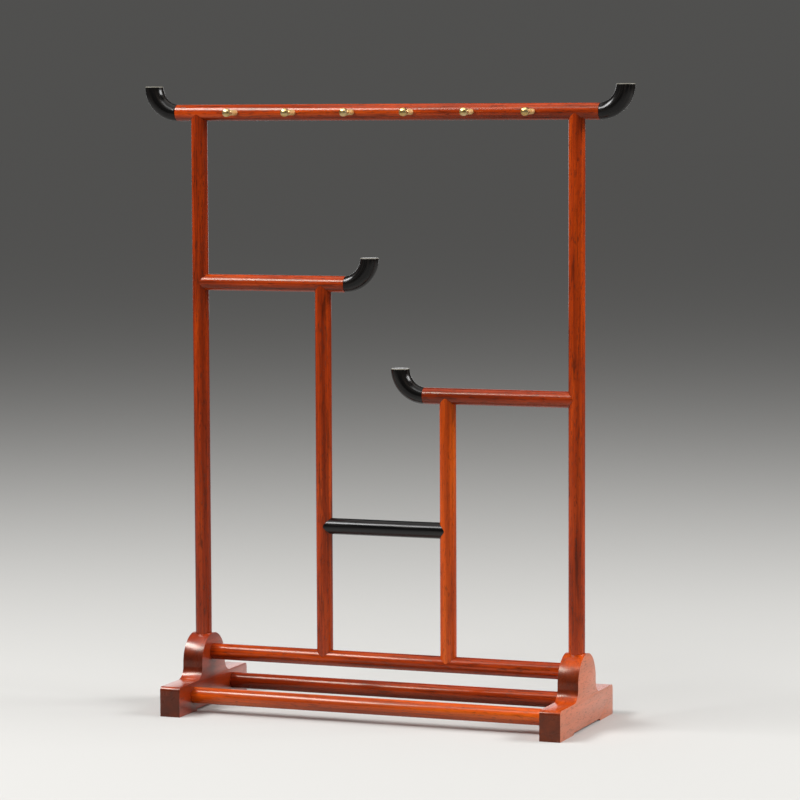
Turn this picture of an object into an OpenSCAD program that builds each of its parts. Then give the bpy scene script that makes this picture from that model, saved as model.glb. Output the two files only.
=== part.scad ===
// Brush rack: a glued frame of round rods on two sawn feet, with upturned horn ends
// and two rows of turned hanging pins along its top bar.
// X is the width, Y runs from front to back, Z is up, and the origin is on the ground
// in the middle of the rack.

/* [Rods] */
// Diameter of the posts, rails, bars and stretchers
rod_d = 12; // [10:0.5:14]
// Diameter of the round tenon turned on a rod's end
tenon_d = 7; // [5:0.5:8]
// How far a tenon reaches past the axis of the rod that it enters
tenon_past_axis = 3; // [1:0.5:4]
// Gap that the glue fills all round a tenon and at a shoulder
glue_gap = 0.05; // [0.02:0.01:0.1]

/* [Frame] */
// Distance between the axes of the two outer posts
post_spacing = 293; // [260:1:340]
// Distance between the axes of the two inner posts
inner_spacing = 97; // [84:1:120]
// Height of the top bar's axis
top_bar_z = 441; // [390:1:500]
// Height of the upper rail's axis
upper_rail_z = 316; // [280:1:340]
// Height of the lower rail's axis
lower_rail_z = 236; // [200:1:260]
// Height of the tie bar's axis
tie_bar_z = 138; // [100:1:170]
// Length of the top bar past a post's axis
bar_overhang = 17.5; // [15:0.5:30]
// Length of a rail past its inner post's axis
rail_overhang = 18; // [15:0.5:24]

/* [Feet] */
// Length of a foot from front to back
foot_depth = 123; // [110:1:160]
// Thickness of the board that a foot is sawn from
foot_t = 15.5; // [13.5:0.5:20]
// Height of a foot at its two ends
foot_h = 22; // [20:0.5:28]
// Radius of the round top of the hump
hump_r = 20.5; // [16:0.5:24]
// Height of the top of the hump
hump_top = 54; // [50:0.5:64]
// Radius of the hollow between the hump and the foot's flat top
hump_fillet_r = 9; // [4:0.5:11]
// Radius of the foot's front and rear top edges
foot_end_r = 3; // [1:0.5:6]
// Length of the low relief under a foot, between its two pads
relief_span = 62; // [40:1:80]
// Height of the relief under a foot
relief_h = 1.6; // [0.8:0.1:3]
// Depth of the post's tenon in the hump
post_tenon_depth = 24; // [14:1:28]

/* [Stretchers] */
// Height of the middle stretcher's axis
middle_stretcher_z = 40; // [36:0.5:44]
// Height of the low stretchers' axes
low_stretcher_z = 12.5; // [9:0.5:15]
// Distance between the axes of the low stretchers
low_stretcher_spacing = 71; // [50:1:90]
// Depth of a low stretcher's tenon in a foot
stretcher_tenon_depth = 10; // [6:0.5:11]
// Wood left between the middle stretcher's tenon and the post's tenon
stub_web = 1; // [0.5:0.1:2]

/* [Horns] */
// Radius of a horn's bend along its middle
horn_bend_r = 19.5; // [14:0.5:26]
// Diameter of the peg that holds a horn
horn_dowel_d = 4; // [3:0.5:5]
// Depth of that peg on each side of the joint
horn_dowel_depth = 6; // [4:0.5:7]

/* [Pins] */
// Number of pins in each of the two rows
pins_in_row = 6; // [3:1:6]
// Distance between neighbouring pins
pin_pitch = 46; // [30:0.5:52]
// Length of a pin outside the bar
pin_l = 18; // [16:0.5:26]
// Diameter of a pin's shank
pin_shank_d = 4; // [3:0.1:4.6]
// Wood left in the bar between a front pin and the rear pin behind it
pin_web = 2.4; // [1:0.1:5]
// Diameter of a pin's head
pin_head_d = 6; // [5.4:0.1:8]
// Length of the straight side of a pin's head
pin_head_side = 2; // [1.5:0.1:3]
// Height of the dome on a pin's head
pin_dome_h = 1.4; // [0.6:0.1:2]
// Diameter of the ring behind a pin's head
pin_ring_d = 5.4; // [4.8:0.1:6.4]
// Thickness of that ring
pin_ring_t = 1.5; // [1:0.1:2]
// Width of the groove between the head and the ring
pin_groove_w = 0.8; // [0.5:0.1:1.2]
// Depth of the neck cut behind the ring, below the shank's surface
pin_neck_depth = 0.3; // [0.1:0.1:0.6]
// Width of that neck
pin_neck_w = 1; // [0.6:0.1:1.6]
// Length of the flare at the shank's outer end
pin_flare_l = 3; // [1:0.1:4]
// How much the flare widens the shank's diameter
pin_flare = 1; // [0.2:0.1:1.6]

/* [Hidden] */
$fn = 96;
rod_r = rod_d / 2;
post_x = post_spacing / 2;
inner_x = inner_spacing / 2;
bar_end_x = post_x + bar_overhang;
rail_end_x = inner_x - rail_overhang;
foot_inner_x = post_x - foot_t / 2;
low_stretcher_y = low_stretcher_spacing / 2;
hump_axis_z = hump_top - hump_r;
// The hollow ends no higher than where the hump's round top starts
hollow_r = min(hump_fillet_r, hump_axis_z - foot_h);
stub_depth = (foot_t - tenon_d) / 2 - stub_web;
// A cut starts this far outside the piece that it is made in
cut_run = 1;
// A tenon or a peg starts this far inside its own rod
root_run = rod_d;

wood = "#8e3216";
end_wood = "#7a2b16";
black_horn = "#151416";
brass = "#c9a24a";

sides = ["left", "right"];
rows = ["front", "rear"];
pin_names = [for (row = rows, i = [1 : pins_in_row]) str(row, "_pin_", i)];

// Children are made on the right side, and mirrored for the left
module on_side(side) {
    mirror([side == "left" ? 1 : 0, 0, 0])
        children();
}

// A rod along X, between two places
module rod_x(x0, x1, d = rod_d) {
    translate([x0, 0, 0])
        rotate([0, 90, 0])
            cylinder(d = d, h = x1 - x0);
}

// A rod along Z, between two heights
module rod_z(z0, z1, d = rod_d) {
    translate([0, 0, z0])
        cylinder(d = d, h = z1 - z0);
}

// The round seat that a coped rod end is cut to, along X
module saddle_x(seat_d) {
    rotate([0, 90, 0])
        cylinder(d = seat_d + 2 * glue_gap, h = 2 * root_run, center = true);
}

// The same, along Z
module saddle_z(seat_d) {
    cylinder(d = seat_d + 2 * glue_gap, h = 2 * root_run, center = true);
}

// The bore for a tenon that enters a rod square to its axis: it starts outside the rod,
// on the +Z side, and stops past the rod's axis
module cross_bore() {
    rod_z(-tenon_past_axis - glue_gap, rod_r + cut_run, tenon_d + 2 * glue_gap);
}

// Side outline of a foot, with the front to the left
module foot_outline() {
    half = foot_depth / 2;
    difference() {
        union() {
            translate([-half, 0])
                square([foot_depth, foot_h - foot_end_r]);
            translate([-half + foot_end_r, 0])
                square([foot_depth - 2 * foot_end_r, foot_h]);
            for (s = [-1, 1])
                translate([s * (half - foot_end_r), foot_h - foot_end_r])
                    circle(r = foot_end_r);
            translate([-hump_r, foot_h / 2])
                square([2 * hump_r, hump_axis_z - foot_h / 2]);
            translate([0, hump_axis_z])
                circle(r = hump_r);
            for (s = [0, 1])
                mirror([s, 0])
                    hump_fillet();
        }
        translate([-relief_span / 2 + relief_h, -cut_run])
            square([relief_span - 2 * relief_h, relief_h + cut_run]);
        for (s = [-1, 1])
            translate([s * (relief_span / 2 - relief_h), 0])
                circle(r = relief_h);
    }
}

// The hollow corner where the hump rises from the flat top
module hump_fillet() {
    overlap = hollow_r / 2;
    translate([hump_r, foot_h])
        difference() {
            translate([-overlap, -overlap])
                square(hollow_r + overlap);
            translate([hollow_r, hollow_r])
                circle(r = hollow_r);
        }
}

// Foot, bored from above for its post and from its inner face for the three stretchers
module foot() {
    bore_d = tenon_d + 2 * glue_gap;
    color(end_wood)
        difference() {
            translate([foot_inner_x, 0, 0])
                rotate([90, 0, 90])
                    linear_extrude(foot_t)
                        foot_outline();
            translate([post_x, 0, 0])
                rod_z(hump_top - post_tenon_depth - glue_gap, hump_top + cut_run, bore_d);
            translate([0, 0, middle_stretcher_z])
                rod_x(foot_inner_x - cut_run, foot_inner_x + stub_depth + glue_gap, bore_d);
            for (y = [-low_stretcher_y, low_stretcher_y])
                translate([0, y, low_stretcher_z])
                    rod_x(
                        foot_inner_x - cut_run,
                        foot_inner_x + stretcher_tenon_depth + glue_gap,
                        bore_d
                    );
        }
}

// Rod that fits between the two feet, with a tenon at each end
module stretcher(tenon_depth) {
    shoulder_x = foot_inner_x - glue_gap;
    rod_x(-shoulder_x, shoulder_x);
    rod_x(-foot_inner_x - tenon_depth, foot_inner_x + tenon_depth, tenon_d);
}

module low_stretcher(y) {
    color(wood)
        translate([0, y, low_stretcher_z])
            stretcher(stretcher_tenon_depth);
}

module middle_stretcher() {
    color(wood)
        translate([0, 0, middle_stretcher_z])
            difference() {
                stretcher(stub_depth);
                for (x = [-inner_x, inner_x])
                    translate([x, 0, 0])
                        cross_bore();
            }
}

// Outer post, coped to the hump below and to the top bar above
module post(side, rail_z) {
    color(wood)
        on_side(side)
            translate([post_x, 0, 0])
                difference() {
                    union() {
                        difference() {
                            rod_z(hump_axis_z, top_bar_z);
                            translate([0, 0, hump_axis_z])
                                saddle_x(2 * hump_r);
                            translate([0, 0, top_bar_z])
                                saddle_x(rod_d);
                        }
                        rod_z(hump_top - post_tenon_depth, top_bar_z + tenon_past_axis, tenon_d);
                    }
                    translate([0, 0, rail_z])
                        rotate([0, -90, 0])
                            cross_bore();
                }
}

// The peg hole in the end of a bar, open towards +X
module bar_end_bore(x_end) {
    rod_x(
        x_end - horn_dowel_depth - glue_gap,
        x_end + cut_run,
        horn_dowel_d + 2 * glue_gap
    );
}

module top_bar() {
    color(wood)
        translate([0, 0, top_bar_z])
            difference() {
                rod_x(-bar_end_x, bar_end_x);
                for (side = sides)
                    on_side(side) {
                        bar_end_bore(bar_end_x);
                        translate([post_x, 0, 0])
                            rotate([180, 0, 0])
                                cross_bore();
                    }
                for (row = rows, i = [1 : pins_in_row])
                    at_pin(row, i)
                        pin_bore();
            }
}

// Rail of one side: coped to the outer post, carried by the inner post, and open at its inner end
module rail(side, z) {
    color(wood)
        on_side(side)
            translate([0, 0, z])
                difference() {
                    union() {
                        difference() {
                            rod_x(rail_end_x, post_x);
                            translate([post_x, 0, 0])
                                saddle_z(rod_d);
                        }
                        rod_x(post_x - root_run, post_x + tenon_past_axis, tenon_d);
                    }
                    translate([inner_x, 0, 0])
                        rotate([180, 0, 0])
                            cross_bore();
                    mirror([1, 0, 0])
                        bar_end_bore(-rail_end_x);
                }
}

// Inner post, coped to the middle stretcher below and to its rail above
module inner_post(side, rail_z) {
    color(wood)
        on_side(side)
            translate([inner_x, 0, 0])
                difference() {
                    union() {
                        difference() {
                            rod_z(middle_stretcher_z, rail_z);
                            for (z = [middle_stretcher_z, rail_z])
                                translate([0, 0, z])
                                    saddle_x(rod_d);
                        }
                        rod_z(
                            middle_stretcher_z - tenon_past_axis,
                            rail_z + tenon_past_axis,
                            tenon_d
                        );
                    }
                    translate([0, 0, tie_bar_z])
                        rotate([0, -90, 0])
                            cross_bore();
                }
}

module tie_bar() {
    color(black_horn)
        translate([0, 0, tie_bar_z]) {
            difference() {
                rod_x(-inner_x, inner_x);
                for (x = [-inner_x, inner_x])
                    translate([x, 0, 0])
                        saddle_z(rod_d);
            }
            rod_x(-inner_x - tenon_past_axis, inner_x + tenon_past_axis, tenon_d);
        }
}

// Upturned end: a quarter bend that starts at the origin along +X and ends upright
module horn() {
    color(black_horn)
        translate([glue_gap, 0, 0])
            difference() {
                translate([0, 0, horn_bend_r])
                    rotate([90, 0, 0])
                        rotate([0, 0, -90])
                            rotate_extrude(angle = 90)
                                translate([horn_bend_r, 0])
                                    circle(d = rod_d);
                rod_x(-cut_run, horn_dowel_depth, horn_dowel_d + 2 * glue_gap);
            }
}

module horn_dowel() {
    color(end_wood)
        rod_x(-horn_dowel_depth, horn_dowel_depth, horn_dowel_d);
}

// Places a horn or its peg on an end of the top bar
module at_bar_end(side) {
    on_side(side)
        translate([bar_end_x, 0, top_bar_z])
            children();
}

// Places a horn or its peg on the inner end of a rail
module at_rail_end(side, z) {
    on_side(side)
        translate([rail_end_x, 0, z])
            mirror([1, 0, 0])
                children();
}

// Places a pin square to the top bar's axis, pointing to the front or to the rear along +Z
module at_pin(row, i) {
    x = (i - (pins_in_row + 1) / 2) * pin_pitch;
    translate([x, 0, 0])
        rotate([row == "front" ? 90 : -90, 0, 0])
            children();
}

module pin_bore() {
    rod_z(pin_web / 2, rod_r + cut_run, pin_shank_d + 2 * glue_gap);
}

// Turned pin along +Z from the bar's axis: shank, flare, neck, ring, groove and domed head
module pin() {
    tip = rod_r + pin_l;
    head_top = tip - pin_dome_h;
    head_base = head_top - pin_head_side;
    ring_top = head_base - pin_groove_w;
    ring_base = ring_top - pin_ring_t;
    flare_top = ring_base - pin_neck_w;
    flare_base = flare_top - pin_flare_l;
    core_d = pin_shank_d - 2 * pin_neck_depth;
    head_r = pin_head_d / 2;
    dome_r = (head_r * head_r + pin_dome_h * pin_dome_h) / (2 * pin_dome_h);
    ring_edge_r = pin_ring_t / 2;
    rod_z(pin_web / 2 + glue_gap, flare_base, pin_shank_d);
    translate([0, 0, flare_base])
        cylinder(d1 = pin_shank_d, d2 = pin_shank_d + pin_flare, h = pin_flare_l);
    rod_z(flare_base, head_top, core_d);
    translate([0, 0, ring_base + ring_edge_r])
        rotate_extrude() {
            square_w = pin_ring_d / 2 - ring_edge_r;
            translate([0, -ring_edge_r])
                square([square_w, pin_ring_t]);
            translate([square_w, 0])
                circle(r = ring_edge_r);
        }
    rod_z(head_base, head_top, pin_head_d);
    intersection() {
        translate([0, 0, tip - dome_r])
            sphere(r = dome_r);
        rod_z(head_top, tip + cut_run, pin_head_d);
    }
}

module hanging_pin(row, i) {
    color(brass)
        translate([0, 0, top_bar_z])
            at_pin(row, i)
                pin();
}

on_side("left") foot();  // left_foot
on_side("right") foot();  // right_foot
low_stretcher(-low_stretcher_y);  // front_stretcher
low_stretcher(low_stretcher_y);  // rear_stretcher
middle_stretcher();
post("left", upper_rail_z);  // left_post
post("right", lower_rail_z);  // right_post
top_bar();
at_bar_end("left") horn();  // top_left_horn
at_bar_end("right") horn();  // top_right_horn
at_bar_end("left") horn_dowel();  // top_left_horn_dowel
at_bar_end("right") horn_dowel();  // top_right_horn_dowel
rail("left", upper_rail_z);  // upper_rail
at_rail_end("left", upper_rail_z) horn();  // upper_rail_horn
at_rail_end("left", upper_rail_z) horn_dowel();  // upper_rail_horn_dowel
inner_post("left", upper_rail_z);  // left_inner_post
rail("right", lower_rail_z);  // lower_rail
at_rail_end("right", lower_rail_z) horn();  // lower_rail_horn
at_rail_end("right", lower_rail_z) horn_dowel();  // lower_rail_horn_dowel
inner_post("right", lower_rail_z);  // right_inner_post
tie_bar();
for (row = rows, i = [1 : pins_in_row])
    hanging_pin(row, i);
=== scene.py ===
import math

import bmesh
import bpy
from mathutils import Matrix, Vector


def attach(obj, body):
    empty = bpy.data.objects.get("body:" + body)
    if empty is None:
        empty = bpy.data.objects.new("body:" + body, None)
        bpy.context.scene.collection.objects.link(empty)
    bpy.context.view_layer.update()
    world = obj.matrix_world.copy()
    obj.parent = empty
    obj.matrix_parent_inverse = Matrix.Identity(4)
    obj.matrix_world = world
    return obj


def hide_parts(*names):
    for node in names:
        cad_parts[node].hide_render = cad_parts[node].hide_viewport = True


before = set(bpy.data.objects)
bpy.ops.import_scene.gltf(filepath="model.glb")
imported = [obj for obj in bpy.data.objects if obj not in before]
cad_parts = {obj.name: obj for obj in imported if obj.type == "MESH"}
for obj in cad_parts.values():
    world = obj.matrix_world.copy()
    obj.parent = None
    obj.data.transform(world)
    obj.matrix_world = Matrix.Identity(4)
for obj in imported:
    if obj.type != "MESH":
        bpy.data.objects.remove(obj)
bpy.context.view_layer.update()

# Camera: a long lens to the right of the middle, as high as the top bar and looking slightly
# down, as found by fitting the rack's posts, bars and feet to the photograph.
camera_place = Vector((0.8832, -2.2702, 0.4394))
camera_yaw = math.radians(21.006)
camera_pitch = math.radians(4.866)
camera_roll = math.radians(-0.235)
camera_sensor = 36.0
camera_lens = 151.04
bpy.ops.object.select_all(action="DESELECT")
bpy.ops.object.camera_add()
camera = bpy.context.object
camera.name = "rack_camera"
camera.data.sensor_fit = "HORIZONTAL"
camera.data.sensor_width = camera_sensor
camera.data.lens = camera_lens
camera.matrix_world = (
    Matrix.Translation(camera_place)
    @ Matrix.Rotation(camera_yaw, 4, "Z")
    @ Matrix.Rotation(math.pi / 2 - camera_pitch, 4, "X")
    @ Matrix.Rotation(camera_roll, 4, "Z")
)
bpy.context.scene.camera = camera

# Feet: two boards of red rosewood, bandsawn to a humped outline with their grain running
# from front to back, relieved underneath, eased along every edge and lacquered.
mm = 0.001
post_x = 146.5 * mm
foot_t = 15.5 * mm
foot_half = 61.5 * mm
foot_h = 22 * mm
hump_r = 20.5 * mm
hump_z = 33.5 * mm
hollow_r = 9 * mm
end_r = 3 * mm
relief_half = 31 * mm
relief_h = 1.6 * mm
relief_r = 0.99 * relief_h
foot_edge = 0.9 * mm
foot_edge_angle = math.radians(40)
foot_edge_steps = 3
foot_rough = 0.21
lacquer_rough = 0.3
round_sides = 96
corner_steps = 12
smooth_angle = math.radians(35)
slack = 0.01 * mm


def linear(code):
    """The linear colour of an sRGB hex code."""
    parts = [int(code[i:i + 2], 16) / 255 for i in (1, 3, 5)]
    return [c / 12.92 if c <= 0.04045 else ((c + 0.055) / 1.055) ** 2.4 for c in parts] + [1.0]


def add(tree, kind, settings=(), links=()):
    """Adds a shader node, sets its options, inputs and colour stops, and links its inputs."""
    made = tree.nodes.new(kind)
    for key, value in dict(settings).items():
        if key == "stops":
            ramp = made.color_ramp.elements
            while len(ramp) < len(value):
                ramp.new(0.5)
            for stop, (place, code) in zip(ramp, value):
                stop.position = place
                stop.color = linear(code)
        elif isinstance(key, int) or key in made.inputs:
            made.inputs[key].default_value = value
        else:
            setattr(made, key, value)
    for key, output in dict(links).items():
        tree.links.new(output, made.inputs[key])
    return made


def new_finish(name):
    """A new material, with its node tree and its shader."""
    material = bpy.data.materials.new(name)
    material.use_nodes = True
    return material, material.node_tree, material.node_tree.nodes["Principled BSDF"]


def pick(piece, kind, test):
    """In edit mode, selects only the corners or the edges whose middle passes the test."""
    bpy.ops.mesh.select_mode(type=kind)
    bpy.ops.mesh.select_all(action="DESELECT")
    mesh = bmesh.from_edit_mesh(piece.data)
    for part in {"VERT": mesh.verts, "EDGE": mesh.edges}[kind]:
        corners = [part] if kind == "VERT" else part.verts
        middle = sum((corner.co for corner in corners), Vector()) / len(corners)
        part.select_set(bool(test(middle)))
    bmesh.update_edit_mesh(piece.data)


def modify(piece, kind, **settings):
    """Adds a modifier to the piece and applies it."""
    bpy.context.view_layer.objects.active = piece
    made = piece.modifiers.new(kind.lower(), kind)
    for key, value in settings.items():
        setattr(made, key, value)
    bpy.ops.object.modifier_apply(modifier=made.name)


def settle(piece, node, material):
    """Shades a finished piece smooth, paints it and lets it stand for its CAD node."""
    bpy.ops.object.select_all(action="DESELECT")
    piece.select_set(True)
    bpy.context.view_layer.objects.active = piece
    bpy.ops.object.transform_apply(location=True, rotation=True, scale=True)
    bpy.ops.object.shade_smooth_by_angle(angle=smooth_angle)
    piece.data.materials.clear()
    piece.data.materials.append(material)
    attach(piece, "root")
    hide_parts(node)


# Each wood's colours, from the dark of its figure to the light.
shades = {
    "dark": [(0.3, "#842806"), (0.5, "#A63408"), (0.7, "#BE440A")],
    "red": [(0.3, "#902C06"), (0.5, "#B43B08"), (0.7, "#CE4C0A")],
    "orange": [(0.3, "#B84208"), (0.5, "#DE560A"), (0.7, "#F06A0E")],
    "amber": [(0.3, "#9E3808"), (0.5, "#BE440A"), (0.7, "#D4520C")],
    "bare": [(0.3, "#7A3A20"), (0.5, "#98502E"), (0.7, "#AC6238")],
}


def rosewood(name, along, flat, shade, rough, bold=1.0, coat=0.0, painted_sheen=0.0):
    """Red rosewood, with its grain along one axis, and flat faces that look along one. The eye
    gets long streaks of orange, red and brown, dark veins, short open pores, darker and duller
    end grain, edges darker brown in patches, and a gloss that wavers, because the sanding was
    done by hand. Bold strengthens streaks and veins, coat is the weight of lacquer, and the
    last one pales the flat faces with a painted sheen."""
    material, tree, shader = new_finish(name)
    shader.inputs["Specular IOR Level"].default_value = 0.45
    shader.inputs["Specular Tint"].default_value = linear("#FFF6E6")
    place = add(tree, "ShaderNodeTexCoord")
    facing = add(tree, "ShaderNodeSeparateXYZ", {}, {0: place.outputs["Normal"]})

    # Each pattern has a width and a length in millimetres, drawn out along the grain. Pores
    # are 0.2 mm wide on the real wood, and are drawn coarser here so that they show.
    laid = {}
    for pattern, width, length, detail in [
        ("figure", 7, 120, 2), ("streak", 1.5, 90, 3), ("vein", 2.2, 28, 2),
        ("pore", 0.9, 5, 1), ("smear", 16, 45, 2), ("sanding", 9, 24, 1),
    ]:
        per_metre = [1 / ((length if axis == along else width) * mm) for axis in "xyz"]
        spread = add(
            tree, "ShaderNodeMapping", {"Scale": per_metre}, {"Vector": place.outputs["Object"]}
        )
        laid[pattern] = add(
            tree, "ShaderNodeTexNoise", {"Scale": 1, "Detail": detail, "Distortion": 0.6},
            {"Vector": spread.outputs["Vector"]},
        ).outputs["Fac"]

    heart = add(tree, "ShaderNodeValToRGB", {"stops": shades[shade]}, {"Fac": laid["figure"]})
    streak = add(
        tree, "ShaderNodeMapRange",
        {"From Min": 0.35, "From Max": 0.65, "To Min": 1 - 0.3 * bold, "To Max": 1 + 0.1 * bold},
        {"Value": laid["streak"]},
    )
    streaked = add(
        tree, "ShaderNodeVectorMath", {"operation": "SCALE"},
        {"Vector": heart.outputs["Color"], "Scale": streak.outputs["Result"]},
    )
    vein = add(
        tree, "ShaderNodeMapRange", {"From Min": 0.56, "From Max": 0.72, "To Max": 0.6 * bold},
        {"Value": laid["vein"]},
    )
    veined = add(
        tree, "ShaderNodeMix", {"data_type": "RGBA", 7: linear("#3A1207")},
        {0: vein.outputs["Result"], 6: streaked.outputs["Vector"]},
    )
    pore = add(
        tree, "ShaderNodeMapRange",
        {"From Min": 0.56, "From Max": 0.72, "To Max": 0.2 + 0.35 * bold},
        {"Value": laid["pore"]},
    )
    side = add(
        tree, "ShaderNodeMath", {"operation": "ABSOLUTE"}, {0: facing.outputs[flat.upper()]}
    )
    smooth = veined
    if painted_sheen:
        # Painted sheen: the flat faces are mixed towards a pale pinkish tan, standing in for a
        # sheen and more light on them.
        sheen_mask = add(
            tree, "ShaderNodeMapRange", {"From Min": 0.8, "From Max": 1.0, "To Max": painted_sheen},
            {"Value": side.outputs[0]},
        )
        smooth = add(
            tree, "ShaderNodeMix", {"data_type": "RGBA", 7: linear("#F0A080")},
            {0: sheen_mask.outputs["Result"], 6: veined.outputs[2]},
        )
    pored = add(
        tree, "ShaderNodeMix", {"data_type": "RGBA", 7: linear("#2C0D06")},
        {0: pore.outputs["Result"], 6: smooth.outputs[2]},
    )
    across = add(
        tree, "ShaderNodeMath", {"operation": "ABSOLUTE"}, {0: facing.outputs[along.upper()]}
    )
    end = add(
        tree, "ShaderNodeMapRange",
        {"interpolation_type": "SMOOTHSTEP", "From Min": 0.7, "From Max": 1.0, "To Max": 0.75},
        {"Value": across.outputs[0]},
    )
    ended = add(
        tree, "ShaderNodeMix", {"data_type": "RGBA", 7: linear("#3A1409")},
        {0: end.outputs["Result"], 6: pored.outputs[2]},
    )
    # An edge is where the surface turns between two faces, half way in its eased corner.
    turn = add(tree, "ShaderNodeMath", {"operation": "PINGPONG", 1: 0.5}, {0: side.outputs[0]})
    edge_patch = add(
        tree, "ShaderNodeMath", {"operation": "MULTIPLY"}, {0: turn.outputs[0], 1: laid["smear"]}
    )
    rubbed = add(
        tree, "ShaderNodeMapRange", {"From Min": 0.1, "From Max": 0.25, "To Max": 0.6},
        {"Value": edge_patch.outputs[0]},
    )
    # The edges turn darker brown in patches.
    wood = add(
        tree, "ShaderNodeMix", {"data_type": "RGBA", 7: linear("#6A2C16")},
        {0: rubbed.outputs["Result"], 6: ended.outputs[2]},
    )
    tree.links.new(wood.outputs[2], shader.inputs["Base Color"])

    dull = add(
        tree, "ShaderNodeMapRange",
        {"From Min": 0.3, "From Max": 0.7, "To Min": rough - 0.04, "To Max": rough + 0.05},
        {"Value": laid["smear"]},
    )
    duller = add(
        tree, "ShaderNodeMath", {"operation": "MULTIPLY_ADD", 1: 0.06},
        {0: end.outputs["Result"], 2: dull.outputs["Result"]},
    )
    dullest = add(
        tree, "ShaderNodeMath", {"operation": "MULTIPLY_ADD", 1: 0.15},
        {0: pore.outputs["Result"], 2: duller.outputs[0]},
    )
    # The flat faces are left duller than the rounded outline.
    sawn = add(
        tree, "ShaderNodeMapRange", {"From Min": 0.8, "From Max": 1.0, "To Max": 0.12},
        {"Value": side.outputs[0]},
    )
    satin = add(tree, "ShaderNodeMath", {}, {0: dullest.outputs[0], 1: sawn.outputs["Result"]})
    tree.links.new(satin.outputs[0], shader.inputs["Roughness"])
    if coat:
        # End grain soaks up the lacquer, so less of it stands on the surface there.
        lacquer = add(
            tree, "ShaderNodeMapRange", {"From Max": 0.75, "To Min": coat, "To Max": 0.0},
            {"Value": end.outputs["Result"]},
        )
        tree.links.new(lacquer.outputs["Result"], shader.inputs["Coat Weight"])
        shader.inputs["Coat Roughness"].default_value = lacquer_rough
    waver = add(tree, "ShaderNodeBump", {"Distance": 0.035 * mm}, {"Height": laid["sanding"]})
    sunk = add(
        tree, "ShaderNodeBump", {"Strength": 0.15, "Distance": 0.05 * mm, "invert": True},
        {"Height": pore.outputs["Result"], "Normal": waver.outputs["Normal"]},
    )
    tree.links.new(sunk.outputs["Normal"], shader.inputs["Normal"])
    return material


dark_foot = rosewood(
    "dark_rosewood_along_y", "y", "x", "dark", foot_rough, bold=0.25, coat=0.9
)
# The right board's flat faces are paled with a painted sheen.
amber_foot = rosewood(
    "amber_rosewood_along_y", "y", "x", "amber", foot_rough, bold=0.4, painted_sheen=0.55
)
bpy.ops.object.select_all(action="DESELECT")
bpy.ops.mesh.primitive_circle_add(
    vertices=round_sides, radius=hump_r, location=(-post_x - foot_t / 2, 0, hump_z),
    rotation=(0, math.pi / 2, 0),
)
left_foot = bpy.context.object
left_foot.name = "left_foot_board"
bpy.ops.object.transform_apply(location=True, rotation=True, scale=True)
bpy.ops.object.mode_set(mode="EDIT")
pick(left_foot, "VERT", lambda p: p.z < hump_z - slack)
bpy.ops.mesh.delete(type="VERT")
pick(left_foot, "VERT", lambda p: p.y > hump_r - slack)
corner = (hump_r, hump_z)
for step in [
    (hump_r, foot_h), (foot_half, foot_h), (foot_half, 0),
    (relief_half, 0), (relief_half, relief_h), (-relief_half, relief_h), (-relief_half, 0),
    (-foot_half, 0), (-foot_half, foot_h), (-hump_r, foot_h),
]:
    bpy.ops.mesh.extrude_region_move(
        TRANSFORM_OT_translate={"value": (0, step[0] - corner[0], step[1] - corner[1])}
    )
    corner = step
bpy.ops.mesh.select_all(action="SELECT")
bpy.ops.mesh.edge_face_add()
for radius, y, z in [
    (hollow_r, hump_r, foot_h), (end_r, foot_half, foot_h), (relief_r, relief_half, relief_h),
]:
    pick(left_foot, "VERT", lambda p: abs(abs(p.y) - y) < slack and abs(p.z - z) < slack)
    bpy.ops.mesh.bevel(offset=radius, segments=corner_steps, affect="VERTICES")
bpy.ops.mesh.select_all(action="SELECT")
bpy.ops.mesh.extrude_region_move(TRANSFORM_OT_translate={"value": (foot_t, 0, 0)})
bpy.ops.mesh.select_all(action="SELECT")
bpy.ops.mesh.normals_make_consistent(inside=False)
bpy.ops.object.mode_set(mode="OBJECT")
modify(
    left_foot, "BEVEL", width=foot_edge, segments=foot_edge_steps, limit_method="ANGLE",
    angle_limit=foot_edge_angle,
)
bpy.ops.object.duplicate()
right_foot = bpy.context.object
right_foot.name = "right_foot_board"
right_foot.location.x = 2 * post_x
settle(left_foot, "left_foot", dark_foot)
settle(right_foot, "right_foot", amber_foot)

# Stretchers: three turned rods that tie the feet together, two low ones near the ground and
# a middle one between the humps, each glued with a round tenon and eased at its shoulders.
rod_r = 6 * mm
foot_inner_x = post_x - foot_t / 2
low_z = 12.5 * mm
low_y = 35.5 * mm
middle_z = 40 * mm
shoulder = 0.3 * mm
shoulder_angle = math.radians(60)
shoulder_steps = 2
rod_rough = 0.2
orange_bar = rosewood(
    "orange_rosewood_along_x", "x", "x", "orange", rod_rough, bold=0.6, coat=0.25
)
red_bar = rosewood("red_rosewood_along_x", "x", "x", "red", rod_rough)
dark_bar = rosewood("dark_rosewood_along_x", "x", "x", "dark", rod_rough)


def cylinder(start, end, radius, sides):
    """A plain cylinder between two points."""
    start, end = Vector(start), Vector(end)
    bpy.ops.object.select_all(action="DESELECT")
    bpy.ops.mesh.primitive_cylinder_add(
        vertices=sides, radius=radius, depth=(end - start).length, location=(start + end) / 2,
        rotation=(end - start).to_track_quat("Z", "Y").to_euler(),
    )
    return bpy.context.object


def rod(name, start, end, ease=0.0):
    """A turned rod between two points, with its end edges eased."""
    piece = cylinder(start, end, rod_r, round_sides)
    piece.name = name
    bpy.ops.object.transform_apply(location=True, rotation=True, scale=True)
    if ease:
        modify(
            piece, "BEVEL", width=ease, segments=shoulder_steps, limit_method="ANGLE",
            angle_limit=shoulder_angle,
        )
    return piece


for name, node, y, z, wood in [
    ("front_stretcher_rod", "front_stretcher", -low_y, low_z, orange_bar),
    ("rear_stretcher_rod", "rear_stretcher", low_y, low_z, dark_bar),
    ("middle_stretcher_rod", "middle_stretcher", 0, middle_z, red_bar),
]:
    piece = rod(name, (-foot_inner_x, y, z), (foot_inner_x, y, z), shoulder)
    settle(piece, node, wood)

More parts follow.
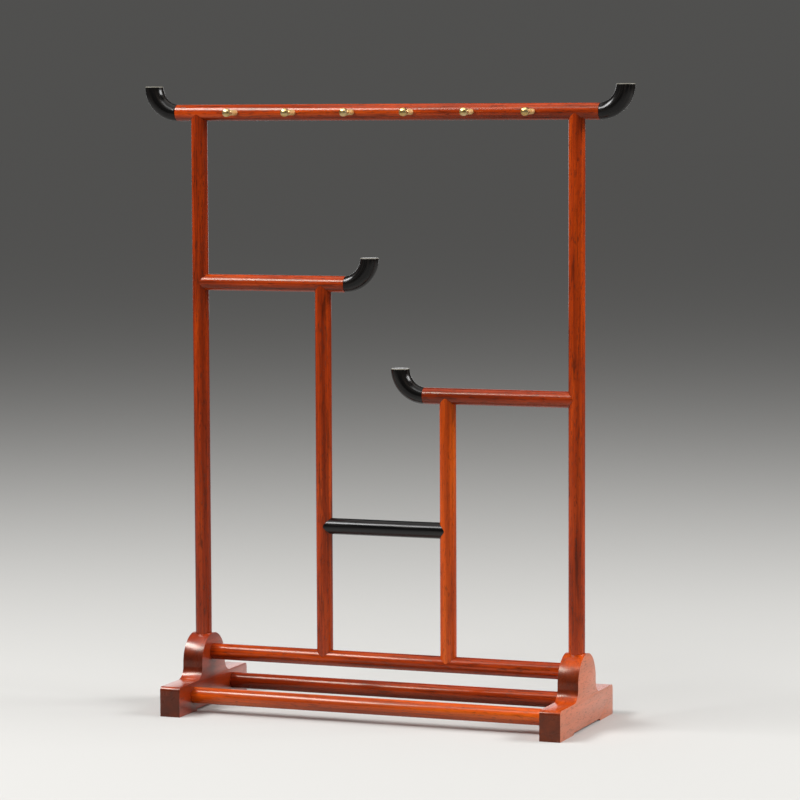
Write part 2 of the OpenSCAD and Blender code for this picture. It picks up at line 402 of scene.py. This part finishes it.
# Posts and top bar: two rods stand on the humps and carry the top bar, with their ends coped
# to what they meet, so that a joint shows as a pointed arch on the round of the bar.
top_z = 441 * mm
bar_end_x = post_x + 17.5 * mm
glue_line = 0.12 * mm
seat_r = rod_r + glue_line
pins_in_row = 6
pin_pitch = 46 * mm
pin_r = 2 * mm
pin_hole_r = pin_r + 0.05 * mm
pin_hole_start = 1.2 * mm
pin_hole_end = 2 * rod_r
cutter_sides = 200
cut_reach = 3 * rod_r
weld = 0.002 * mm
dark_post = rosewood("dark_rosewood_along_z", "z", "z", "dark", rod_rough)
red_post = rosewood("red_rosewood_along_z", "z", "z", "red", rod_rough)


def cope(piece, start, end, radius):
    """Cuts the piece to a round seat or hole that runs between two points."""
    cutter = cylinder(start, end, radius, cutter_sides)
    modify(piece, "BOOLEAN", operation="DIFFERENCE", solver="EXACT", object=cutter)
    bpy.data.objects.remove(cutter)
    bpy.ops.object.mode_set(mode="EDIT")
    bpy.ops.mesh.select_all(action="SELECT")
    bpy.ops.mesh.remove_doubles(threshold=weld)
    bpy.ops.mesh.dissolve_degenerate(threshold=weld)
    bpy.ops.object.mode_set(mode="OBJECT")


def across_x(x, z):
    """The two ends of a cut along X, through a rod that stands at x."""
    return (x - cut_reach, 0, z), (x + cut_reach, 0, z)


def across_z(x, z):
    """The two ends of a cut along Z, through a rod that lies at z."""
    return (x, 0, z - cut_reach), (x, 0, z + cut_reach)


for name, node, x, wood in [
    ("left_post_rod", "left_post", -post_x, dark_post),
    ("right_post_rod", "right_post", post_x, red_post),
]:
    piece = rod(name, (x, 0, hump_z), (x, 0, top_z))
    cope(piece, *across_x(x, hump_z), hump_r + glue_line)
    cope(piece, *across_x(x, top_z), seat_r)
    settle(piece, node, wood)
piece = rod("top_bar_rod", (-bar_end_x, 0, top_z), (bar_end_x, 0, top_z), shoulder)
pin_places = [(i - (pins_in_row - 1) / 2) * pin_pitch for i in range(pins_in_row)]
for x in pin_places:
    for side in (-1, 1):
        inner, outer = (x, side * pin_hole_start, top_z), (x, side * pin_hole_end, top_z)
        cope(piece, inner, outer, pin_hole_r)
settle(piece, "top_bar", red_bar)

# Rails and inner posts: a high rail on the left and a lower one on the right are coped to
# the outer posts, and an inner post under each one stands on the middle stretcher.
inner_x = 48.5 * mm
rail_end_x = 30.5 * mm
upper_z = 316 * mm
lower_z = 236 * mm
orange_post = rosewood("orange_rosewood_along_z", "z", "z", "orange", rod_rough, bold=0.45)
for side, z, rail_name, rail_node, rail_wood, post_name, post_node, post_wood in [
    (-1, upper_z, "upper_rail_rod", "upper_rail", red_bar,
     "left_inner_post_rod", "left_inner_post", red_post),
    (1, lower_z, "lower_rail_rod", "lower_rail", dark_bar,
     "right_inner_post_rod", "right_inner_post", orange_post),
]:
    piece = rod(rail_name, (side * rail_end_x, 0, z), (side * post_x, 0, z))
    cope(piece, *across_z(side * post_x, z), seat_r)
    settle(piece, rail_node, rail_wood)
    piece = rod(post_name, (side * inner_x, 0, middle_z), (side * inner_x, 0, z))
    cope(piece, *across_x(side * inner_x, middle_z), seat_r)
    cope(piece, *across_x(side * inner_x, z), seat_r)
    settle(piece, post_node, post_wood)

# Horn pieces: a short tie bar between the inner posts and four upturned ends, bent from
# black buffalo horn. An end grows thicker towards its tip, on the inside of the bend, where
# it is sawn off level, and all of it is polished like glass.
tie_z = 138 * mm
bend_r = 19.5 * mm
bend_sides = 64
bend_steps = 20
tip_flare = 0.14
tip_edge = 0.7 * mm
# Width of the pale highlight painted along the rim of each tip.
rim_highlight_width = 0.9 * tip_edge
horn_edge_steps = 4
glue_gap = 0.05 * mm
bend_middle = Vector((glue_gap, 0, bend_r))


def black_horn(name):
    """Polished black horn: near-black, with faint grey-brown fibres that follow the piece
    round its bend, a hard shine a little dulled along the fibres, and a thin pale highlight
    painted along the edge of a sawn tip."""
    material, tree, shader = new_finish(name)
    shader.inputs["Specular IOR Level"].default_value = 0.4
    place = add(tree, "ShaderNodeAttribute", {"attribute_name": "fibre_place"})
    # Fibres are far finer than this on the real horn: they are drawn 1.4 mm wide to show.
    spread = add(
        tree, "ShaderNodeMapping", {"Scale": (1 / (30 * mm), 1 / (1.4 * mm), 1 / (1.4 * mm))},
        {"Vector": place.outputs["Vector"]},
    )
    fibre = add(
        tree, "ShaderNodeTexNoise", {"Scale": 1, "Detail": 3},
        {"Vector": spread.outputs["Vector"]},
    )
    tint = add(
        tree, "ShaderNodeValToRGB",
        {"stops": [(0.45, "#0B0A0A"), (0.62, "#191614"), (0.75, "#2C2622")]},
        {"Fac": fibre.outputs["Fac"]},
    )
    # A pale highlight is painted along the rim of each sawn tip.
    rubbed = add(tree, "ShaderNodeAttribute", {"attribute_name": "rubbed"})
    rim_highlighted = add(
        tree, "ShaderNodeMix", {"data_type": "RGBA", 7: linear("#827E72")},
        {0: rubbed.outputs["Fac"], 6: tint.outputs["Color"]},
    )
    tree.links.new(rim_highlighted.outputs[2], shader.inputs["Base Color"])
    dull = add(
        tree, "ShaderNodeMapRange",
        {"From Min": 0.3, "From Max": 0.7, "To Min": 0.14, "To Max": 0.24},
        {"Value": fibre.outputs["Fac"]},
    )
    duller = add(
        tree, "ShaderNodeMath", {"operation": "MULTIPLY_ADD", 1: 0.2},
        {0: rubbed.outputs["Fac"], 2: dull.outputs["Result"]},
    )
    tree.links.new(duller.outputs[0], shader.inputs["Roughness"])
    ridge = add(
        tree, "ShaderNodeBump", {"Strength": 0.4, "Distance": 0.02 * mm},
        {"Height": fibre.outputs["Fac"]},
    )
    tree.links.new(ridge.outputs["Normal"], shader.inputs["Normal"])
    return material


def lay_fibres(piece, spot):
    """Stores, for each corner of the piece, its place along and across the fibres."""
    laid = piece.data.attributes.new("fibre_place", "FLOAT_VECTOR", "POINT")
    for mark, corner in zip(laid.data, piece.data.vertices):
        mark.vector = spot(corner.co)


horn = black_horn("polished_black_horn")
piece = rod("tie_bar_horn", (-inner_x, 0, tie_z), (inner_x, 0, tie_z))
cope(piece, *across_z(-inner_x, tie_z), seat_r)
cope(piece, *across_z(inner_x, tie_z), seat_r)
lay_fibres(piece, lambda p: p)
settle(piece, "tie_bar", horn)


def copied(first, name, place, turn):
    """A copy of a first piece with a mesh of its own, put in its place and turned about Z."""
    piece = first.copy()
    piece.data = first.data.copy()
    piece.name = name
    bpy.context.collection.objects.link(piece)
    piece.location = place
    piece.rotation_euler.z = turn
    return piece


def along_bend(p):
    """Along the bend, across it and sideways, from the middle of the bend."""
    out = p - bend_middle
    return bend_r * math.atan2(out.x, -out.z), math.hypot(out.x, out.z), out.y


bpy.ops.object.select_all(action="DESELECT")
bpy.ops.mesh.primitive_circle_add(
    vertices=bend_sides, radius=rod_r, fill_type="NGON", location=(glue_gap, 0, 0),
    rotation=(0, math.pi / 2, 0),
)
first_horn = bpy.context.object
bpy.ops.object.transform_apply(location=True, rotation=True, scale=True)
bpy.ops.object.mode_set(mode="EDIT")
bpy.ops.mesh.select_all(action="SELECT")
bpy.ops.mesh.spin(steps=bend_steps, angle=math.pi / 2, center=bend_middle, axis=(0, 1, 0))
bpy.ops.mesh.select_all(action="SELECT")
bpy.ops.mesh.remove_doubles(threshold=weld)
bpy.ops.mesh.normals_make_consistent(inside=False)
for step in range(1, bend_steps + 1):
    angle = step / bend_steps * math.pi / 2
    out = Vector((math.sin(angle), 0, -math.cos(angle)))
    pick(first_horn, "VERT", lambda p: abs((p - bend_middle).cross(out).y) < slack)
    bpy.ops.transform.resize(
        value=[1 + tip_flare * math.sin(angle)] * 3,
        center_override=bend_middle + (bend_r + rod_r) * out,
    )
for ease, test in [
    (tip_edge, lambda p: abs(p.z - bend_r) < slack),
    (shoulder, lambda p: abs(p.x - glue_gap) < slack),
]:
    pick(first_horn, "EDGE", test)
    bpy.ops.mesh.bevel(offset=ease, segments=horn_edge_steps, affect="EDGES")
bpy.ops.object.mode_set(mode="OBJECT")
lay_fibres(first_horn, along_bend)
# The rim of the tip, where a pale highlight is painted.
rim_highlights = first_horn.data.attributes.new("rubbed", "FLOAT", "POINT")
for mark, corner in zip(rim_highlights.data, first_horn.data.vertices):
    mark.value = 1.0 if slack < bend_r - corner.co.z < rim_highlight_width else 0.0
for name, node, x, z, turn in [
    ("top_left_horn_end", "top_left_horn", -bar_end_x, top_z, math.pi),
    ("top_right_horn_end", "top_right_horn", bar_end_x, top_z, 0.0),
    ("upper_rail_horn_end", "upper_rail_horn", -rail_end_x, upper_z, 0.0),
    ("lower_rail_horn_end", "lower_rail_horn", rail_end_x, lower_z, math.pi),
]:
    piece = copied(first_horn, name, (x, 0, z), turn)
    settle(piece, node, horn)
bpy.data.objects.remove(first_horn)

# Pegs: four short round pegs of bare wood, one glued in the joint between each upturned end
# and its bar. They can't be seen, so they keep their CAD shape.
peg_rough = 0.6
peg_wood = rosewood("bare_rosewood_along_x", "x", "x", "bare", peg_rough)
for node in [
    "top_left_horn_dowel", "top_right_horn_dowel",
    "upper_rail_horn_dowel", "lower_rail_horn_dowel",
]:
    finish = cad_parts[node].data.materials
    finish.clear()
    finish.append(peg_wood)

# Hanging pins: two rows of turned brass pins pressed into the top bar, each with a domed
# head, a groove, a rounded ring and a neck, and a shank that flares towards the neck.
pin_sides = 40
pin_start = 1.25 * mm
shank_end = 17.3 * mm
polish_fade = 0.1 * mm
groove_r = 1.7 * mm
ring_place = 19.05 * mm
ring_r = 1.95 * mm
ring_round = 0.75 * mm
ring_turns = [math.radians(d) for d in range(-72, 73, 16)]
head_start = 20.6 * mm
head_r = 3 * mm
pin_tip = 24 * mm
dome_h = 1.4 * mm
dome_r = (head_r ** 2 + dome_h ** 2) / (2 * dome_h)
dome_radii = [2.75 * mm, 2.4 * mm, 2 * mm, 1.5 * mm, 1 * mm, 0.5 * mm, 0.1 * mm]


def brass(name):
    """Brass turned on a lathe: pale gold, a little tarnished in patches, bright on the polished
    head and satin on the shank, with fine rings round it and a darker brown in its grooves."""
    material, tree, shader = new_finish(name)
    shader.inputs["Metallic"].default_value = 1.0
    place = add(tree, "ShaderNodeTexCoord")
    spot = add(
        tree, "ShaderNodeTexNoise", {"Scale": 1 / (2.5 * mm), "Detail": 2},
        {"Vector": place.outputs["Object"]},
    )
    tint = add(
        tree, "ShaderNodeValToRGB",
        {"stops": [(0.3, "#DEB468"), (0.5, "#EFCD8A"), (0.7, "#F8E2AE")]},
        {"Fac": spot.outputs["Fac"]},
    )
    sunk = add(tree, "ShaderNodeAttribute", {"attribute_name": "groove"})
    groove_darkened = add(
        tree, "ShaderNodeMix", {"data_type": "RGBA", 7: linear("#5A3A1A")},
        {0: sunk.outputs["Fac"], 6: tint.outputs["Color"]},
    )
    tree.links.new(groove_darkened.outputs[2], shader.inputs["Base Color"])
    part = add(tree, "ShaderNodeSeparateXYZ", {}, {0: place.outputs["Object"]})
    reach = add(tree, "ShaderNodeMath", {"operation": "ABSOLUTE"}, {0: part.outputs["Y"]})
    satin = add(
        tree, "ShaderNodeMapRange",
        {
            "From Min": shank_end - polish_fade, "From Max": shank_end + polish_fade,
            "To Min": 0.56, "To Max": 0.24,
        },
        {"Value": reach.outputs[0]},
    )
    dull = add(
        tree, "ShaderNodeMath", {"operation": "MULTIPLY_ADD", 1: 0.12},
        {0: spot.outputs["Fac"], 2: satin.outputs["Result"]},
    )
    duller = add(
        tree, "ShaderNodeMath", {"operation": "MULTIPLY_ADD", 1: 0.3},
        {0: sunk.outputs["Fac"], 2: dull.outputs[0]},
    )
    tree.links.new(duller.outputs[0], shader.inputs["Roughness"])
    # Lathe marks are about 0.1 mm apart on the real pin, and drawn 0.4 mm apart to show.
    spread = add(
        tree, "ShaderNodeMapping", {"Scale": (0, 1 / (0.4 * mm), 0)},
        {"Vector": place.outputs["Object"]},
    )
    lathe = add(
        tree, "ShaderNodeTexNoise", {"Scale": 1, "Detail": 1},
        {"Vector": spread.outputs["Vector"]},
    )
    rings = add(
        tree, "ShaderNodeBump", {"Strength": 0.3, "Distance": 0.02 * mm},
        {"Height": lathe.outputs["Fac"]},
    )
    tree.links.new(rings.outputs["Normal"], shader.inputs["Normal"])
    return material


# Places along the pin from the bar's axis, and the radius there: shank, groove, ring, groove,
# head and dome.
profile = [(14.3 * mm, pin_r), (15.8 * mm, 2.2 * mm), (17.15 * mm, 2.46 * mm)]
profile += [(shank_end, 2.4 * mm), (17.35 * mm, groove_r), (18.25 * mm, groove_r)]
profile += [
    (ring_place + ring_round * math.sin(a), ring_r + ring_round * math.cos(a)) for a in ring_turns
]
profile += [(19.85 * mm, groove_r), (20.55 * mm, groove_r)]
profile += [(head_start, 2.8 * mm), (20.72 * mm, 2.95 * mm), (20.9 * mm, head_r)]
profile += [(pin_tip - dome_h, head_r)]
profile += [(pin_tip - dome_r + math.sqrt(dome_r ** 2 - r ** 2), r) for r in dome_radii]
bpy.ops.object.select_all(action="DESELECT")
bpy.ops.mesh.primitive_circle_add(
    vertices=pin_sides, radius=pin_r, fill_type="NGON", location=(0, -pin_start, 0),
    rotation=(math.pi / 2, 0, 0),
)
first_pin = bpy.context.object
bpy.ops.object.transform_apply(location=True, rotation=True, scale=True)
bpy.ops.object.mode_set(mode="EDIT")
bpy.ops.mesh.select_all(action="SELECT")
here, wide = pin_start, pin_r
for reach, radius in profile:
    bpy.ops.mesh.extrude_region_move(TRANSFORM_OT_translate={"value": (0, here - reach, 0)})
    bpy.ops.transform.resize(
        value=(radius / wide, 1, radius / wide), center_override=(0, -reach, 0)
    )
    here, wide = reach, radius
bpy.ops.mesh.select_all(action="SELECT")
bpy.ops.mesh.normals_make_consistent(inside=False)
bpy.ops.object.mode_set(mode="OBJECT")
grooves = first_pin.data.attributes.new("groove", "FLOAT", "POINT")
for mark, corner in zip(grooves.data, first_pin.data.vertices):
    narrow = math.hypot(corner.co.x, corner.co.z) < groove_r + slack
    mark.value = 1.0 if narrow and shank_end < -corner.co.y < head_start else 0.0
pin_brass = brass("turned_brass")
for row, turn in [("front", 0.0), ("rear", math.pi)]:
    for i, x in enumerate(pin_places):
        piece = copied(first_pin, f"{row}_pin_{i + 1}_brass", (x, 0, top_z), turn)
        settle(piece, f"{row}_pin_{i + 1}", pin_brass)
bpy.data.objects.remove(first_pin)

# Studio: a matte pale floor that fades into a dim grey surround, a soft box high on the left
# that draws the bright line along each bar, and weaker ones in front, above and on the right.
floor_r = 30
floor_sides = 128
surround_level = 0.13
mirror_reach = 0.25
lamp_aim = Vector((0, 0, 0.23))
pale = linear("#CECDCA")
bpy.ops.object.select_all(action="DESELECT")
bpy.ops.mesh.primitive_circle_add(vertices=floor_sides, radius=floor_r, fill_type="NGON")
floor = bpy.context.object
floor.name = "studio_floor"
paper, paper_tree, paper_shader = new_finish("matte_paper_floor")
paper_shader.inputs["Roughness"].default_value = 0.9
paper_shader.inputs["Specular IOR Level"].default_value = 0.0
floor.data.materials.append(paper)
world = bpy.data.worlds.new("studio_surround")
bpy.context.scene.world = world
world.use_nodes = True
light = world.node_tree.nodes["Background"]
light.inputs["Strength"].default_value = surround_level
# The eye and a glossy surface see floor and surround in one pale tone, the floor only from
# close by. To all other light the floor is darker than that, and the surround brighter.
for tree, thrown, target, reach in [
    (paper_tree, linear("#9C9B99"), paper_shader.inputs["Base Color"], mirror_reach),
    (world.node_tree, linear("#FFFFFF"), light.inputs["Color"], None),
]:
    ray = add(tree, "ShaderNodeLightPath")
    mirrored = ray.outputs["Is Glossy Ray"]
    if reach:
        near = add(
            tree, "ShaderNodeMapRange",
            {"From Min": reach, "From Max": 2 * reach, "To Min": 1.0, "To Max": 0.0},
            {"Value": ray.outputs["Ray Length"]},
        )
        mirrored = add(
            tree, "ShaderNodeMath", {"operation": "MULTIPLY"},
            {0: mirrored, 1: near.outputs["Result"]},
        ).outputs[0]
    seen = add(
        tree, "ShaderNodeMath", {"operation": "MAXIMUM"},
        {0: ray.outputs["Is Camera Ray"], 1: mirrored},
    )
    looked_at = add(
        tree, "ShaderNodeMath", {"operation": "MAXIMUM"},
        {0: seen.outputs[0], 1: ray.outputs["Is Transmission Ray"]},
    )
    tone = add(
        tree, "ShaderNodeMix", {"data_type": "RGBA", 6: thrown, 7: pale},
        {0: looked_at.outputs[0]},
    )
    tree.links.new(tone.outputs[2], target)
# Places and sizes are in metres and powers in watts. The rear card is only mirrored: it lays
# a pale sheen on the flat tops of the feet.
for name, place, size, power, only_mirrored in [
    ("left_soft_box", (-1.0, -0.75, 1.5), (1.3, 0.42), 30, False),
    ("front_soft_box", (0.05, -0.96, 1.75), (1.2, 0.5), 6, False),
    ("top_soft_box", (0.0, 0.1, 2.4), (2.2, 2.2), 11, False),
    ("right_soft_box", (1.5, 0.25, 1.2), (1.0, 0.6), 24, False),
    ("rear_card", (-0.85, 2.2, 0.45), (1.4, 0.6), 3, True),
]:
    bpy.ops.object.light_add(type="AREA", location=place)
    lamp = bpy.context.object
    lamp.name = name
    lamp.data.shape = "RECTANGLE"
    lamp.data.size, lamp.data.size_y = size
    lamp.data.energy = power
    lamp.visible_camera = False
    lamp.visible_diffuse = not only_mirrored
    lamp.rotation_euler = (lamp_aim - Vector(place)).to_track_quat("-Z", "Y").to_euler()
bpy.context.scene.view_settings.view_transform = "Standard"
